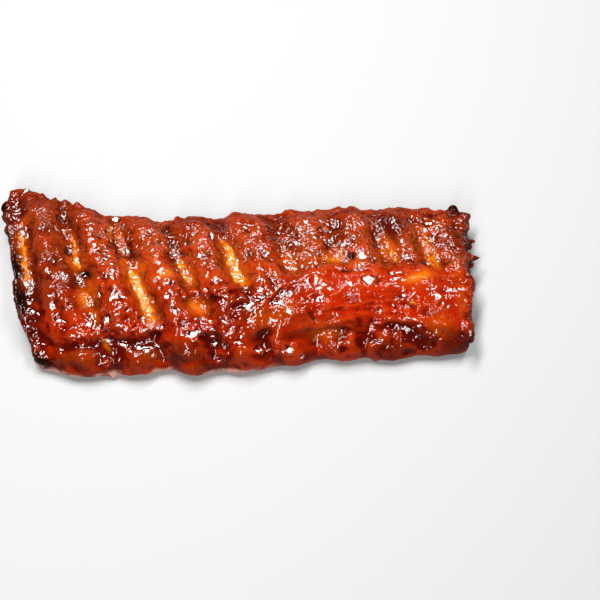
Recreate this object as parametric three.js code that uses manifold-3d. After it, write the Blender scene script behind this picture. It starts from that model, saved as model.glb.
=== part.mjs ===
// A glazed rack of nine pork ribs, laid flat with its meaty side up.
// Millimetres, +X along the rack, +Y to the thin far edge, +Z up, origin under the middle.
import * as THREE from 'three';
import { mergeVertices } from 'three/addons/utils/BufferGeometryUtils.js';
import Module from 'manifold-3d';

const wasm = await Module();
wasm.setup();

// ---- driving dimensions -------------------------------------------------------------

const RIBS = 9;
const FAR_ROW = 47;          // y of the row where FAR_X holds
const NEAR_ROW = -33;        // y of the row where NEAR_X holds

// One value for the left end, one for each rib line, one for the right end.
const FAR_X = [-144.5, -135, -108, -80, -50, -18, 19, 50, 80, 107, 140];
const NEAR_X = [-124.5, -116, -82, -47, -14, 15, 45, 73, 104, 129, 139];
const FAR_Y = [54, 66, 58, 49, 45, 47, 50, 53, 53, 53, 50];
const NEAR_Y = [-46, -50, -52.5, -49.5, -50, -48, -43, -42.5, -40.5, -39.5, -35.5];
const CREASE_Y = [-26, -29, -33, -33, -33, -32, -27, -22, -22, -27, -30];
const FOLD_WAVE = [3, 3, 3, 2.4, 1, 1, 1.2, 1.5, 1.5, 1.5, 1];         // sag of the brow between ribs
const CREST_Z = [24, 25, 26, 28, 30, 30, 29, 28, 28, 28, 25];
const VALLEY_END = [-24, -24, -26, -27, -25, -10, 0, 6, 6, 4, 4];       // near end of each valley

// Lumps of meat that close the fold: place and half length, both in rib spaces.
const BRIDGES = [[0.1, 0.6], [3.42, 0.36], [4.55, 0.3], [5.2, 0.25], [6.9, 0.22], [8.15, 0.3], [9.9, 0.5]];

// Single swellings and hollows: centre x and y, half length, half width, height.
const LUMPS = [
  [-137, 54, 11, 9, 2.2],
  [-122, 30, 8, 13, 1.2],
  [-90, 26, 8, 14, 1.6],
  [-72, -12, 9, 9, 1.5],
  [-40, -9, 12, 8, 2.6],
  [-130, -10, 6, 6, 1.8],
  [-12, -12, 10, 7, 2.2],
  [8, -5, 8, 8, 2],
  [92, -4, 42, 11, 2],
  [85, 13, 40, 5, -1.6],
  [-34, -36, 11, 10, 2.6],
  [-97, -43, 12, 7, 1.6],
  [-64, -44, 12, 7, 0.8],
  [-27, -50, 9, 6, 2],
  [-7, -41, 11, 7, 2],
  [16, -30, 5, 4, -2.5],
  [48, -38, 12, 7, 1.2],
  [70, -36, 9, 6, 1.4],
  [97, -36, 11, 6, 1.6],
  [126, -30, 10, 8, 2],
];

// The cross-section: the far side as offset from the far edge and height, then the top as a
// share of the crest from far edge to brow, then the fold under the brow where it is open and
// where a lump closes it, as offset from the crease and height, then the lower roll as share of
// the way from crease to near edge and height, and its foot as offset from the near edge.
const FAR_SIDE = [[-6, 0], [-1, 4], [0, 11], [-1.5, 16]];
const TOP_SHARE = [0.66, 0.76, 0.82, 0.87, 0.93, 0.99, 1.0, 0.95, 0.8];
const FOLD_OPEN = [[0.5, 19], [2.5, 16], [-3, 16.5]];
const FOLD_CLOSED = [[-3, 22], [-5, 20], [-7, 18]];
const ROLL = [[0.5, 15.5], [0.85, 11]];
const FOOT = [[0, 5.5], [3, 0]];
const UNDERSIDE = [0.2, 0.5, 0.8];                                     // shares of the way back
const SECTION_STEPS = [1, 1, 1, 1, 3, 3, 3, 3, 3, 3, 3, 2, 2, 2, 2, 2, 2, 2, 1, 2, 2, 2];   // per corner
const FOLD_TOP = 19;         // the lower roll's relief ends at this height

const GROOVE_HALF = 6.5;     // half width of the valley along a rib
const BETWEEN_HALF = 10;     // distance from a rib line at which the meat is at its fullest
const COVER = 1.6;           // meat over a bone where the bone doesn't show, at least
const VALLEY = 3.4;          // depth of the valley over a covered bone, at most
const BARE = 0.8;            // how far a bare bone stands out of the meat
const NOTCH = 1.2;           // dip of the far edge at each rib
const SWELL = 2.6;           // swelling of the meat between two ribs
const SWELL_SHARE = [0.6, 1.2];                                        // least and most of it
const ROLL_SWELL = 2.6;      // swelling of the lower roll between two ribs
const COARSE = { size: 12, height: 1.5 };                              // uneven lumps all over
const FINE = { size: 6, height: 0.9 };

const BONE_SINK = 3.6;       // depth of a bone's top below the even surface
const BONE_NEAR_SINK = 1.4;  // how much deeper it lies at its near end
const BONE_FAR_Z = 12.5;     // height of a bone's top at its far end
const BONE_FAR_SLOPE = 0.55;
const BONE_WIDE = 9.6;
const BONE_THICK = 7.6;
const BONE_IN = 0.8;         // a bone's far end lies this far inside the far edge
const BONE_SHORT = 8;        // a bone's near end lies this far behind the fold
const BONE_SIDES = 8;
const BONE_STEPS = 10;
const RUN_OUT = 8;           // a channel is cut this far past its bone's far end
const BONE_GAP = 0.36;       // clearance between a bone and its channel

// Stretches of y over which each bone shows through the glaze.
const BARE_STRETCHES = [
  [[35, -4]],
  [[33, 9], [-3, -15]],
  [[37, 16], [6, -23]],
  [[22, -2], [-12, -21]],
  [[27, -3]],
  [[24, 4]],
  [[20, 11]],
  [[33, 13]],
  [[33, 10]],
];
const BARE_RUN = [2, 3];     // a stretch fades in from this far outside to this far inside its end

const STATIONS = 70;         // rings along the rack between its rounded ends
const CAP_RINGS = 5;         // rings on each rounded end
const CAP_LEFT = 0.78;       // share of the first rib space that the left end takes up
const CAP_RIGHT = 0.35;      // the same at the right end
const CAP_POWER = 4;         // bluntness of the ends
const MIDDLE_Z = 11;         // height of the middle of both ends

const END_CRAGS = 7;         // on each end
const END_CRAG_Z = [12, 6];  // mean height, and the spread above and below
const LEFT_CRAG_IN = 2.2;
const RIGHT_CRAG_IN = 1.6;
const FAR_CRAGS = 16;
const FAR_CRAG_Z = [14.5, 2];
const FAR_CRAG_IN = 2.6;
const CRAG_SIZE = [2.6, 0.7];                                          // mean, and the spread
const POINTS = [                                                       // pointed crags at the right end:
  [130, 48, 17, 3.4],                                                  // x, y, height, size
  [136, 43, 15, 2.8],
  [138, 34, 13, 2.4],
  [139, 27, 12, 3.4],
  [140, 15, 11, 3.4],
];
const DRIPS = [1.6, 2.05, 3.3, 4.7, 7.2];                              // their places along the near side
const DRIP_SIZE = 3;
const DRIP_Z = 2.2;

// ---- small helpers ------------------------------------------------------------------

const clamp = (v, lo, hi) => Math.min(hi, Math.max(lo, v));
const mix = (a, b, t) => a + (b - a) * t;
const smooth = (a, b, v) => {
  const t = clamp((v - a) / (b - a), 0, 1);
  return t * t * (3 - 2 * t);
};
const bell = (v, half) => Math.exp(-(v / half) * (v / half));
const spread = ([mean, range], draw) => mean + range * draw;

// A smooth curve through evenly spaced values, read at place p (0 is the first value).
function along(values, p) {
  const last = values.length - 1;
  const i = clamp(Math.floor(p), 0, last - 1);
  const t = p - i;
  const at = (n) => values[clamp(n, 0, last)];
  const [a, b, c, d] = [at(i - 1), at(i), at(i + 1), at(i + 2)];
  return b + 0.5 * t * (c - a + t * (2 * a - 5 * b + 4 * c - d + t * (3 * (b - c) + d - a)));
}

// A seeded draw, -1 to 1, for each cell of a grid.
function cell(x, y, z, seed) {
  let h = Math.imul(x, 374761393) + Math.imul(y, 668265263) + Math.imul(z, 2147483647) + seed * 144665;
  h = Math.imul(h ^ (h >>> 13), 1274126177);
  return ((h ^ (h >>> 16)) >>> 0) / 2147483648 - 1;
}

// Noise, -1 to 1, smooth over one unit.
function noise(x, y, z, seed) {
  const [ix, iy, iz] = [Math.floor(x), Math.floor(y), Math.floor(z)];
  const [fx, fy, fz] = [smooth(0, 1, x - ix), smooth(0, 1, y - iy), smooth(0, 1, z - iz)];
  const row = (j, k) => mix(cell(ix, iy + j, iz + k, seed), cell(ix + 1, iy + j, iz + k, seed), fx);
  return mix(mix(row(0, 0), row(1, 0), fy), mix(row(0, 1), row(1, 1), fy), fz);
}

// ---- rib lines ----------------------------------------------------------------------

// Place k along the rack counts ribs: 0 is the left end, 1 to 9 the ribs, 10 the right end.
function ribX(k, y) {
  return mix(along(FAR_X, k), along(NEAR_X, k), (FAR_ROW - y) / (FAR_ROW - NEAR_ROW));
}

// Millimetres from one rib line to the next.
function ribPitch(k, y) {
  const step = 0.25;
  const lo = Math.max(0, k - step);
  const hi = Math.min(RIBS + 1, k + step);
  return (ribX(hi, y) - ribX(lo, y)) / (hi - lo);
}

// The crease under the brow, which sags between two ribs.
function foldY(k) {
  return along(CREASE_Y, k) - along(FOLD_WAVE, k) * (0.5 - 0.5 * Math.cos(2 * Math.PI * k));
}

function topZ(k, y) {
  const across = (along(FAR_Y, k) - y) / (along(FAR_Y, k) - foldY(k));
  return along(CREST_Z, k) * along(TOP_SHARE, clamp(across, 0, 1) * (TOP_SHARE.length - 1));
}

// Height of a bone's top: it follows the rack's top and drops at the far end.
function boneTop(k, y) {
  const even = topZ(k, y) - BONE_SINK - BONE_NEAR_SINK * smooth(20, -15, y);
  return Math.min(even, BONE_FAR_Z + BONE_FAR_SLOPE * (along(FAR_Y, k) - y));
}

// 1 where the bone of this rib shows, 0 where meat covers it.
function bareness(rib, y) {
  if (rib < 1 || rib > RIBS) return 0;
  const [outside, inside] = BARE_RUN;
  let most = 0;
  for (const [far, near] of BARE_STRETCHES[rib - 1]) {
    const shown = smooth(far + outside, far - inside, y) * smooth(near - outside, near + inside, y);
    most = Math.max(most, shown);
  }
  return most;
}

// ---- the meat -----------------------------------------------------------------------

// 1 where a lump closes the fold, 0 where the brow hangs free over it.
function bridging(k) {
  return BRIDGES.reduce((most, [place, half]) => Math.max(most, bell(k - place, half)), 0);
}

// Cross-section at place k: corner points [y, z] of a closed smooth loop, far bottom first.
function sectionPoints(k) {
  const far = along(FAR_Y, k);
  const near = along(NEAR_Y, k);
  const fold = foldY(k);
  const crest = along(CREST_Z, k);
  const closed = bridging(k);
  const points = FAR_SIDE.map(([dy, z]) => [far + dy, z]);
  for (let i = 1; i < TOP_SHARE.length; i++) {
    points.push([mix(far, fold, i / (TOP_SHARE.length - 1)), crest * TOP_SHARE[i]]);
  }
  FOLD_OPEN.forEach(([dy, z], i) => {
    const [closedY, closedZ] = FOLD_CLOSED[i];
    points.push([fold + mix(dy, closedY, closed), mix(z, closedZ, closed)]);
  });
  ROLL.forEach(([share, z]) => points.push([mix(fold, near, share), z]));
  FOOT.forEach(([dy, z]) => points.push([near + dy, z]));
  UNDERSIDE.forEach((share) => points.push([mix(near, far, share), 0]));
  return points;
}

// The same loop, rounded and cut into short sides.
function sectionLoop(k) {
  const points = sectionPoints(k).map(([y, z]) => new THREE.Vector3(0, y, z));
  const curve = new THREE.CatmullRomCurve3(points, true, 'centripetal');
  const loop = [];
  points.forEach((point, i) => {
    for (let s = 0; s < SECTION_STEPS[i]; s++) {
      const spot = curve.getPoint((i + s / SECTION_STEPS[i]) / points.length);
      loop.push([spot.y, Math.max(0, spot.z)]);
    }
  });
  return loop;
}

// Lumps of every size at a point, the same for the top and the lower roll.
function lumpiness(x, y, z) {
  let sum = 0;
  [COARSE, FINE].forEach(({ size, height }, i) => {
    sum += height * noise(x / size, y / size, z / size, 5 + i);
  });
  for (const [cx, cy, halfX, halfY, height] of LUMPS) {
    sum += height * bell(x - cx, halfX) * bell(y - cy, halfY);
  }
  return sum * smooth(0, 5, z);
}

// How far the meat stands out of the even surface at a point of the loop.
function relief(k, y, z, lift) {
  const rib = Math.round(k);
  const off = (k - rib) * ribPitch(k, y);
  const isRib = rib >= 1 && rib <= RIBS;
  const valley = isRib ? Math.exp(-((Math.abs(off) / GROOVE_HALF) ** 3)) : 0;
  const between = 1 - bell(off, BETWEEN_HALF);
  const rough = lumpiness(ribX(k, y), y, z);
  const fold = foldY(k);
  if (y < fold + 3 && z < FOLD_TOP) {
    return ROLL_SWELL * (between - 0.4) * smooth(0, 6, z) * smooth(fold, fold - 6, y) + rough;
  }
  const far = along(FAR_Y, k);
  const onTop = smooth(0.3, 0.8, lift) * smooth(far + 1, far - 7, y);
  const past = smooth(along(VALLEY_END, k) + 7, along(VALLEY_END, k) - 7, y);
  const sunk = topZ(k, y) - boneTop(rib, y);
  const dip = mix(Math.min(sunk - COVER, VALLEY), sunk + BARE, bareness(rib, y));
  const share = mix(...SWELL_SHARE, 0.5 + 0.5 * noise(k + 0.5, y / 24, 0, 7));
  const swell = SWELL * share * between * (1 - past);
  return onTop * mix(swell, -dip * (1 - past), valley) + rough * (1 - 0.6 * valley * onTop);
}

// Rings along the rack: the place k of each, and how far the rounded end has shrunk it.
function stationPlaces() {
  const list = [];
  const span = RIBS + 1;
  const capRing = (i, cap) => {
    const turn = (i / (CAP_RINGS + 1)) * 0.5 * Math.PI;
    const inset = cap * (1 - Math.cos(turn) ** (2 / CAP_POWER));
    return [inset, Math.sin(turn) ** (2 / CAP_POWER)];
  };
  for (let i = 1; i <= CAP_RINGS; i++) {
    const [inset, size] = capRing(i, CAP_LEFT);
    list.push({ k: inset, size });
  }
  for (let i = 0; i <= STATIONS; i++) {
    list.push({ k: mix(CAP_LEFT, span - CAP_RIGHT, i / STATIONS), size: 1 });
  }
  for (let i = CAP_RINGS; i >= 1; i--) {
    const [inset, size] = capRing(i, CAP_RIGHT);
    list.push({ k: span - inset, size });
  }
  return list;
}

function meatGeometry() {
  const stations = stationPlaces();
  const rings = stations.map(({ k, size }) => {
    const middle = 0.5 * (along(FAR_Y, k) + along(NEAR_Y, k));
    return sectionLoop(k).map(([y, z]) => {
      const yy = mix(middle, y, size);
      return new THREE.Vector3(ribX(k, yy), yy, mix(MIDDLE_Z, z, size));
    });
  });
  const around = rings[0].length;
  const tip = (k) => {
    const y = 0.5 * (along(FAR_Y, k) + along(NEAR_Y, k));
    return new THREE.Vector3(ribX(k, y), y, MIDDLE_Z);
  };
  const tips = [tip(0), tip(RIBS + 1)];
  const ringAt = (j, i) => {
    if (j < 0) return tips[0];
    if (j >= rings.length) return tips[1];
    return rings[j][(i + around) % around];
  };
  const positions = [];
  rings.forEach((ring, j) => {
    ring.forEach((spot, i) => {
      const lengthwise = ringAt(j + 1, i).clone().sub(ringAt(j - 1, i));
      const crosswise = ringAt(j, i + 1).clone().sub(ringAt(j, i - 1));
      const out = lengthwise.cross(crosswise).normalize().negate();
      const push = relief(stations[j].k, spot.y, spot.z, out.z);
      const moved = spot.clone().addScaledVector(out, push);
      const off = (stations[j].k - Math.round(stations[j].k)) * ribPitch(stations[j].k, spot.y);
      const notch = NOTCH * bell(off, GROOVE_HALF);
      moved.y -= notch * smooth(0.2, 0.9, out.y) * smooth(0, 8, spot.z);
      positions.push(moved.x, moved.y, Math.max(0, moved.z));
    });
  });
  tips.forEach((spot) => positions.push(spot.x, spot.y, spot.z));
  const index = [];
  const at = (j, i) => j * around + (i % around);
  for (let j = 0; j + 1 < rings.length; j++) {
    for (let i = 0; i < around; i++) {
      index.push(at(j, i), at(j, i + 1), at(j + 1, i + 1));
      index.push(at(j, i), at(j + 1, i + 1), at(j + 1, i));
    }
  }
  const first = rings.length * around;
  for (let i = 0; i < around; i++) {
    index.push(first, at(0, i + 1), at(0, i));
    index.push(first + 1, at(rings.length - 1, i), at(rings.length - 1, i + 1));
  }
  const geometry = new THREE.BufferGeometry();
  geometry.setAttribute('position', new THREE.Float32BufferAttribute(positions, 3));
  geometry.setIndex(index);
  return geometry;
}

// ---- the bones ----------------------------------------------------------------------

// A bar of oval section that follows a rib line from the far side to behind the fold.
// With a gap it is the bone's channel: wider all round, and run on through the far side.
function boneGeometry(rib, gap) {
  const farEnd = along(FAR_Y, rib) - BONE_IN;
  const nearEnd = foldY(rib) + BONE_SHORT;
  const rows = [];
  for (let s = 0; s <= BONE_STEPS; s++) {
    const y = mix(farEnd, nearEnd, s / BONE_STEPS);
    rows.push([ribX(rib, y), y, boneTop(rib, y) - BONE_THICK / 2]);
  }
  if (gap > 0) {
    rows.unshift([ribX(rib, farEnd + RUN_OUT), farEnd + RUN_OUT, rows[0][2]]);
    rows.push([rows.at(-1)[0], nearEnd - gap, rows.at(-1)[2]]);
  }
  const positions = [];
  for (const [x, y, z] of rows) {
    for (let i = 0; i < BONE_SIDES; i++) {
      const turn = (i / BONE_SIDES) * 2 * Math.PI;
      const across = (BONE_WIDE / 2 + gap) * Math.cos(turn);
      positions.push(x + across, y, z + (BONE_THICK / 2 + gap) * Math.sin(turn));
    }
  }
  const index = [];
  const last = rows.length - 1;
  const at = (s, i) => s * BONE_SIDES + (i % BONE_SIDES);
  for (let s = 0; s < last; s++) {
    for (let i = 0; i < BONE_SIDES; i++) {
      index.push(at(s, i), at(s, i + 1), at(s + 1, i + 1));
      index.push(at(s, i), at(s + 1, i + 1), at(s + 1, i));
    }
  }
  for (let i = 1; i + 1 < BONE_SIDES; i++) {
    index.push(at(0, 0), at(0, i + 1), at(0, i));
    index.push(at(last, 0), at(last, i), at(last, i + 1));
  }
  const geometry = new THREE.BufferGeometry();
  geometry.setAttribute('position', new THREE.Float32BufferAttribute(positions, 3));
  geometry.setIndex(index);
  return geometry;
}

// ---- crags and drips ----------------------------------------------------------------

// An uneven angular lump, set well into the meat.
function crag(x, y, z, size, seed) {
  const ball = new THREE.IcosahedronGeometry(1, 0);
  ball.deleteAttribute('normal');
  ball.deleteAttribute('uv');
  const geometry = mergeVertices(ball);
  const spots = geometry.attributes.position;
  for (let i = 0; i < spots.count; i++) {
    const grow = size * (1 + 0.3 * cell(i, seed, 1, 9));
    const height = Math.max(z + 0.8 * grow * spots.getZ(i), 0.15);
    spots.setXYZ(i, x + grow * spots.getX(i), y + grow * spots.getY(i), height);
  }
  return geometry;
}

// Charred crags on both ends.
function endCrags() {
  const list = [];
  for (let i = 0; i < END_CRAGS; i++) {
    const draw = (n) => cell(i, n, 0, 3);
    const share = (i + 0.5 + 0.4 * draw(1)) / END_CRAGS;
    const z = spread(END_CRAG_Z, draw(2));
    const left = mix(along(NEAR_Y, 0) + 14, along(FAR_Y, 0) - 8, share);
    const right = mix(along(NEAR_Y, RIBS + 1) + 8, along(FAR_Y, RIBS + 1) - 5, share);
    list.push(crag(ribX(0, left) + LEFT_CRAG_IN, left, z, spread(CRAG_SIZE, draw(3)), i));
    list.push(crag(ribX(RIBS + 1, right) - RIGHT_CRAG_IN, right, z, spread(CRAG_SIZE, draw(4)), i + 40));
  }
  POINTS.forEach(([x, y, z, size], i) => list.push(crag(x, y, z, size, i + 120)));
  return list;
}

// Smaller ones along the far edge.
function farCrags() {
  const list = [];
  for (let i = 0; i < FAR_CRAGS; i++) {
    const draw = (n) => cell(i, n, 0, 3);
    const k = mix(0.6, RIBS + 0.7, (i + 0.5 + 0.45 * draw(5)) / FAR_CRAGS);
    const y = along(FAR_Y, k) - FAR_CRAG_IN;
    list.push(crag(ribX(k, y), y, spread(FAR_CRAG_Z, draw(6)), spread(CRAG_SIZE, draw(7)), i + 80));
  }
  return list;
}

// Drips of glaze at the foot of the near side.
function drips() {
  return DRIPS.map((k) => {
    const y = along(NEAR_Y, k) + 1.2;
    return crag(ribX(k, y), y, DRIP_Z, DRIP_SIZE, Math.round(k * 10));
  });
}

// ---- joining and cutting ------------------------------------------------------------

function toSolid(geometry) {
  const merged = mergeVertices(geometry, 1e-4);
  return new wasm.Manifold(new wasm.Mesh({
    numProp: 3,
    vertProperties: new Float32Array(merged.attributes.position.array),
    triVerts: new Uint32Array(merged.index.array),
  }));
}

// The solid's largest connected shell as a geometry; loose scraps are dropped.
function toGeometry(solid) {
  const { vertProperties, triVerts } = solid.getMesh();
  const parent = Array.from({ length: vertProperties.length / 3 }, (_, i) => i);
  const root = (i) => {
    while (parent[i] !== i) {
      parent[i] = parent[parent[i]];
      i = parent[i];
    }
    return i;
  };
  for (let t = 0; t < triVerts.length; t += 3) {
    parent[root(triVerts[t + 1])] = root(triVerts[t]);
    parent[root(triVerts[t + 2])] = root(triVerts[t]);
  }
  const count = new Map();
  for (let t = 0; t < triVerts.length; t += 3) {
    const shell = root(triVerts[t]);
    count.set(shell, (count.get(shell) ?? 0) + 1);
  }
  const [largest] = [...count].reduce((a, b) => (b[1] > a[1] ? b : a));
  const index = [];
  for (let t = 0; t < triVerts.length; t += 3) {
    if (root(triVerts[t]) === largest) index.push(triVerts[t], triVerts[t + 1], triVerts[t + 2]);
  }
  const geometry = new THREE.BufferGeometry();
  geometry.setAttribute('position', new THREE.Float32BufferAttribute(vertProperties, 3));
  geometry.setIndex(index);
  return geometry;
}

// ---- assembly -----------------------------------------------------------------------

const glaze = new THREE.MeshStandardMaterial({ color: 0x8e2410, roughness: 0.25, metalness: 0 });
const bone = new THREE.MeshStandardMaterial({ color: 0xd98a2b, roughness: 0.35, metalness: 0 });

const rack = new THREE.Group();

let meat = toSolid(meatGeometry());
for (const piece of [...endCrags(), ...farCrags(), ...drips()]) {
  meat = meat.add(toSolid(piece));
}
for (let rib = 1; rib <= RIBS; rib++) {
  meat = meat.subtract(toSolid(boneGeometry(rib, BONE_GAP)));
}
const meatMesh = new THREE.Mesh(toGeometry(meat), glaze);
meatMesh.name = 'meat';
rack.add(meatMesh);

for (let rib = 1; rib <= RIBS; rib++) {
  const mesh = new THREE.Mesh(boneGeometry(rib, 0), bone.clone());
  mesh.name = `rib_bone_${rib}`;
  rack.add(mesh);
}

// The origin lies on the table under the middle of the rack.
const box = new THREE.Box3().setFromObject(rack);
rack.position.set(-0.5 * (box.min.x + box.max.x), -0.5 * (box.min.y + box.max.y), 0);

export default rack;
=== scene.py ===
"""A glazed rack of ribs: the looks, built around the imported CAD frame."""
import math

import bmesh
import bpy
import numpy as np
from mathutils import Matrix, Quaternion, Vector
from mathutils.bvhtree import BVHTree


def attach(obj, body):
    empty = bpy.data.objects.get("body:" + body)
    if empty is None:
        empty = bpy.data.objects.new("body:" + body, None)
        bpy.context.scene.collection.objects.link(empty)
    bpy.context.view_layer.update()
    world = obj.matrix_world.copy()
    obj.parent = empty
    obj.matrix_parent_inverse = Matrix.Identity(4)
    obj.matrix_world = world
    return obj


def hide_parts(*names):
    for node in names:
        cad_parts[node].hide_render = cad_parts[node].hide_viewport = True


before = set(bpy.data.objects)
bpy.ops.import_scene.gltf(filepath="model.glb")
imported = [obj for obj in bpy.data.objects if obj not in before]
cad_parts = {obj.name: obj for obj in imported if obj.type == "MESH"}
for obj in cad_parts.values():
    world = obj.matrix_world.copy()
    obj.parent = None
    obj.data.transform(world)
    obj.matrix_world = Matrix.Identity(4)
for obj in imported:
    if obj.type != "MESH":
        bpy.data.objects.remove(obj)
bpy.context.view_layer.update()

MM = 0.001

# ---- the rack's own measures, in millimetres, as in the CAD source -------------------

RIBS = 9
SHIFT = np.array([2.2, -5.65])      # from the CAD source's x and y to the frame's
FAR_ROW, NEAR_ROW = 47, -33         # the rows, as y, at which FAR_X and NEAR_X hold

# The rack's eleven lines, from left to right: the left end, the nine ribs and the right end.
FAR_X = [-144.5, -135, -108, -80, -50, -18, 19, 50, 80, 107, 140]
NEAR_X = [-124.5, -116, -82, -47, -14, 15, 45, 73, 104, 129, 139]
FAR_Y = [54, 66, 58, 49, 45, 47, 50, 53, 53, 53, 50]
# On the same lines: y of the fold over the near roll, how much nearer the fold lies between
# the lines, and y of the near end of each rib's valley.
CREASE_Y = [-26, -29, -33, -33, -33, -32, -27, -22, -22, -27, -30]
FOLD_WAVE = [3, 3, 3, 2.4, 1, 1, 1.2, 1.5, 1.5, 1.5, 1]
VALLEY_END = [-24, -24, -26, -27, -25, -10, 0, 6, 6, 4, 4]

# Stretches over which each bone shows: far and near y, how strongly, half width at each end.
BARE_STRETCHES = [
    [(35, 1, 0.85, 1.7, 1.3)],
    [(33, 7, 0.6, 1.2, 2.0), (-3, -15, 0.3, 2.0, 2.0)],
    [(9, -27, 1.0, 3.2, 3.0)],
    [(18, -3, 0.65, 0.9, 3.0), (-12, -21, 0.2, 2.2, 2.2)],
    [(28, -4, 1.0, 1.9, 4.2)],
    [(24, 4, 0.2, 1.4, 1.6)],
    [(20, 11, 0.35, 1.4, 1.6)],
    [(31, 13, 0.4, 1.0, 1.9)],
    [(33, 10, 0.5, 1.3, 2.3)],
]

# The bare part of the first bone drifts to the left of its middle line by FIRST_DRIFT, from
# y DRIFT_FROM on, as it comes nearer by DRIFT_OVER.
FIRST_DRIFT = 2.8
DRIFT_FROM = 35
DRIFT_OVER = 35

# How far the left end stands out past the CAD's, as y and millimetres.
LEFT_OUT = [
    (-50, 1.8), (-44, 1.6), (-38, 0.3), (-30, 1.2), (-20, 2.4), (-11, 3.0), (-3, 2.2), (12, 1.2),
    (34, 1.0), (48, 0),
]

WELD = 1e-6                         # in metres: CAD points closer than this are one
CHANNEL_FILL = 0.55                 # grows the bones until their channels in the meat close
VOXEL = 0.8
BONE_VOXEL = 0.6
MEAT_FACES = 190000                 # faces kept of the meat

# Rounds of averaging: against the voxels' steps, for the soft fold, for the crisp ends, and
# for the surroundings out of which pits, fine pits and hollows stand.
STEP_ROUNDS, FOLD_ROUNDS, CRISP_ROUNDS = 10, 160, 2
PIT_ROUNDS, FINE_ROUNDS, HOLLOW_ROUNDS = 16, 4, 110

BARE_DEPTH = 0.6                    # how far the meat draws back over a bare stretch of bone
VALLEY_DIP = 0.9                    # how deep the valley over each rib is, below its rims
VALLEY_RIM = 0.3                    # how far the rims rise
VALLEY_HALF = 6.5                   # the valley's half width
DIP_LOSS = 1.8                      # how much of this is taken off on the right, past nothing
BONE_UNDER = 0.6                    # how far a bone's top lies under the meat where it is covered
BONE_PROUD = 1.1                    # how much higher than that it lies where it is bare
BONE_REACH = 3                      # the most that a point of a bone is lifted for that
RAY_TOP = 0.06                      # in metres: a height above all of the meat

# ---- what the photo shows on the meat, in the same millimetres ---------------------------

# Stains: x, y, half length, half width, turn in degrees, strength.
# Glaze that glows orange.
ORANGE_STAINS = [
    (-87, -4, 8, 4, -70, 0.6), (-91, -10, 7, 4, -75, 1.0), (-85, -20, 6, 3, -60, 0.6),
    (-127, 2, 8, 3, -80, 0.8), (-58, 9, 5, 4, 0, 0.8), (-43, 2, 6, 4, 20, 1.0),
    (-72, 28, 12, 2.5, -75, 0.5), (-68, 12, 5, 2.5, -75, 0.8), (-24, -17, 7, 5, -40, 1.0),
    (-30, 4, 9, 4, -70, 0.8), (18, -23, 11, 6, 10, 0.5), (28, -18, 8, 5, 20, 0.4),
    (30, 12, 10, 5, -60, 0.6), (51, -30, 9, 4, 0, 0.55), (119, -26, 8, 5, -20, 0.5),
    (-91, -45, 9, 4, 10, 0.2), (-51, -44, 8, 5, 10, 0.2), (92, 22, 11, 2.4, -65, 0.9),
    (115, 20, 12, 4, -70, 0.9), (107, 1, 9, 4, 20, 0.9), (57, 15, 8, 4, 0, 0.8),
    (-100, 14, 10, 3, -65, 0.8), (131, -2, 3, 16, 4, 0.35), (70, 12, 6, 4, 0, 0.5),
]
# Amber glaze, the brightest.
AMBER_STAINS = [
    (-91, -10, 4, 2.4, -70, 0.9), (-24, -17, 4.5, 2.4, -40, 0.45), (107, 1, 7, 2, 18, 1.0),
    (103, -14, 2, 0.8, -25, 1.0), (-43, 3, 4, 2, 20, 0.8), (-79, 35, 4, 1.2, -85, 0.6),
    (55, 14, 2.5, 1.6, 0, 0.9), (62, 19, 2, 1.6, 60, 0.9), (59, 14, 1.8, 1.4, 0, 0.9),
    (-78, -37, 5, 1.2, -55, 0.5), (92, 18, 5, 1.6, -65, 0.8), (116, 14, 6, 2.4, -70, 0.9),
]
# Browned meat with little glaze.
TAN_STAINS = [
    (-117, 20, 11, 6, -60, 0.8), (-120, 42, 17, 11, -20, 0.95), (-128, 28, 5, 9, 0, 0.7),
    (-114, -10, 9, 5, -50, 0.8), (-84, 28, 11, 6, -55, 0.6), (-54, 34, 13, 9, -40, 0.8),
    (-52, 18, 12, 8, -60, 0.55), (-22, 22, 14, 9, -60, 0.6), (4, 22, 13, 9, -50, 0.6),
    (38, 24, 16, 11, -60, 0.8), (51, 38, 6, 3, -80, 0.9), (75, 28, 14, 9, -60, 0.6),
    (101, 30, 13, 9, -60, 0.7), (128, 34, 8, 10, 0, 0.5), (133, -15, 3, 9, 0, 0.7),
    (45, -25, 14, 3, 8, 0.5),
]
# Black char.
CHAR_STAINS = [
    (-103, 21, 4, 3, -60, 0.9), (-98, 15, 4, 2.4, -60, 0.7), (-91, 5, 6, 3, -30, 1.0),
    (-132, 10, 12, 4.2, -80, 1.0), (-127, -9, 13, 4.8, -76, 1.0), (-116, -46, 7, 4, -30, 1.0),
    (-147, 50, 8, 4.5, 75, 1.0), (-143, 34, 3.6, 6, 0, 0.8), (-122, 63, 2, 2, 0, 0.9),
    (131, 49, 6, 4, -10, 1.0), (139, 30, 4, 6, 0, 0.6), (67, 16, 2, 2, 0, 1.0),
    (135, -32, 5, 5, 0, 0.5), (-140, 30, 4, 10, 10, 0.5),
]
# Dark red, partly dark glaze and partly painted shade, in hollows and under folds.
WINE_AND_SHADE_STAINS = [
    (-14, -14, 10, 4, -10, 0.9), (4, -18, 12, 6, 10, 0.7), (16, -32, 7, 3, 20, 0.7),
    (-13, 38, 5, 10, 10, 0.5), (23, 38, 6, 11, 10, 0.75), (-42, 40, 5, 10, 10, 0.3),
    (60, 34, 6, 11, 10, 0.8), (90, 38, 8, 10, 10, 0.95), (-66, -36, 18, 3, -4, 0.8),
    (-49, -33, 5, 3, 0, 1.0), (-18, -34, 6, 2.6, -20, 0.8), (70, -28, 12, 3, 4, 0.8),
    (86, -26, 8, 3, 10, 0.9), (110, -29, 9, 3, -10, 0.5), (-138, 54, 8, 7, 0, 0.8),
    (-30, -14, 8, 4, -20, 0.5), (130, 30, 9, 12, 0, 0.4), (-120, 44, 24, 15, -30, 0.5),
]
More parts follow.
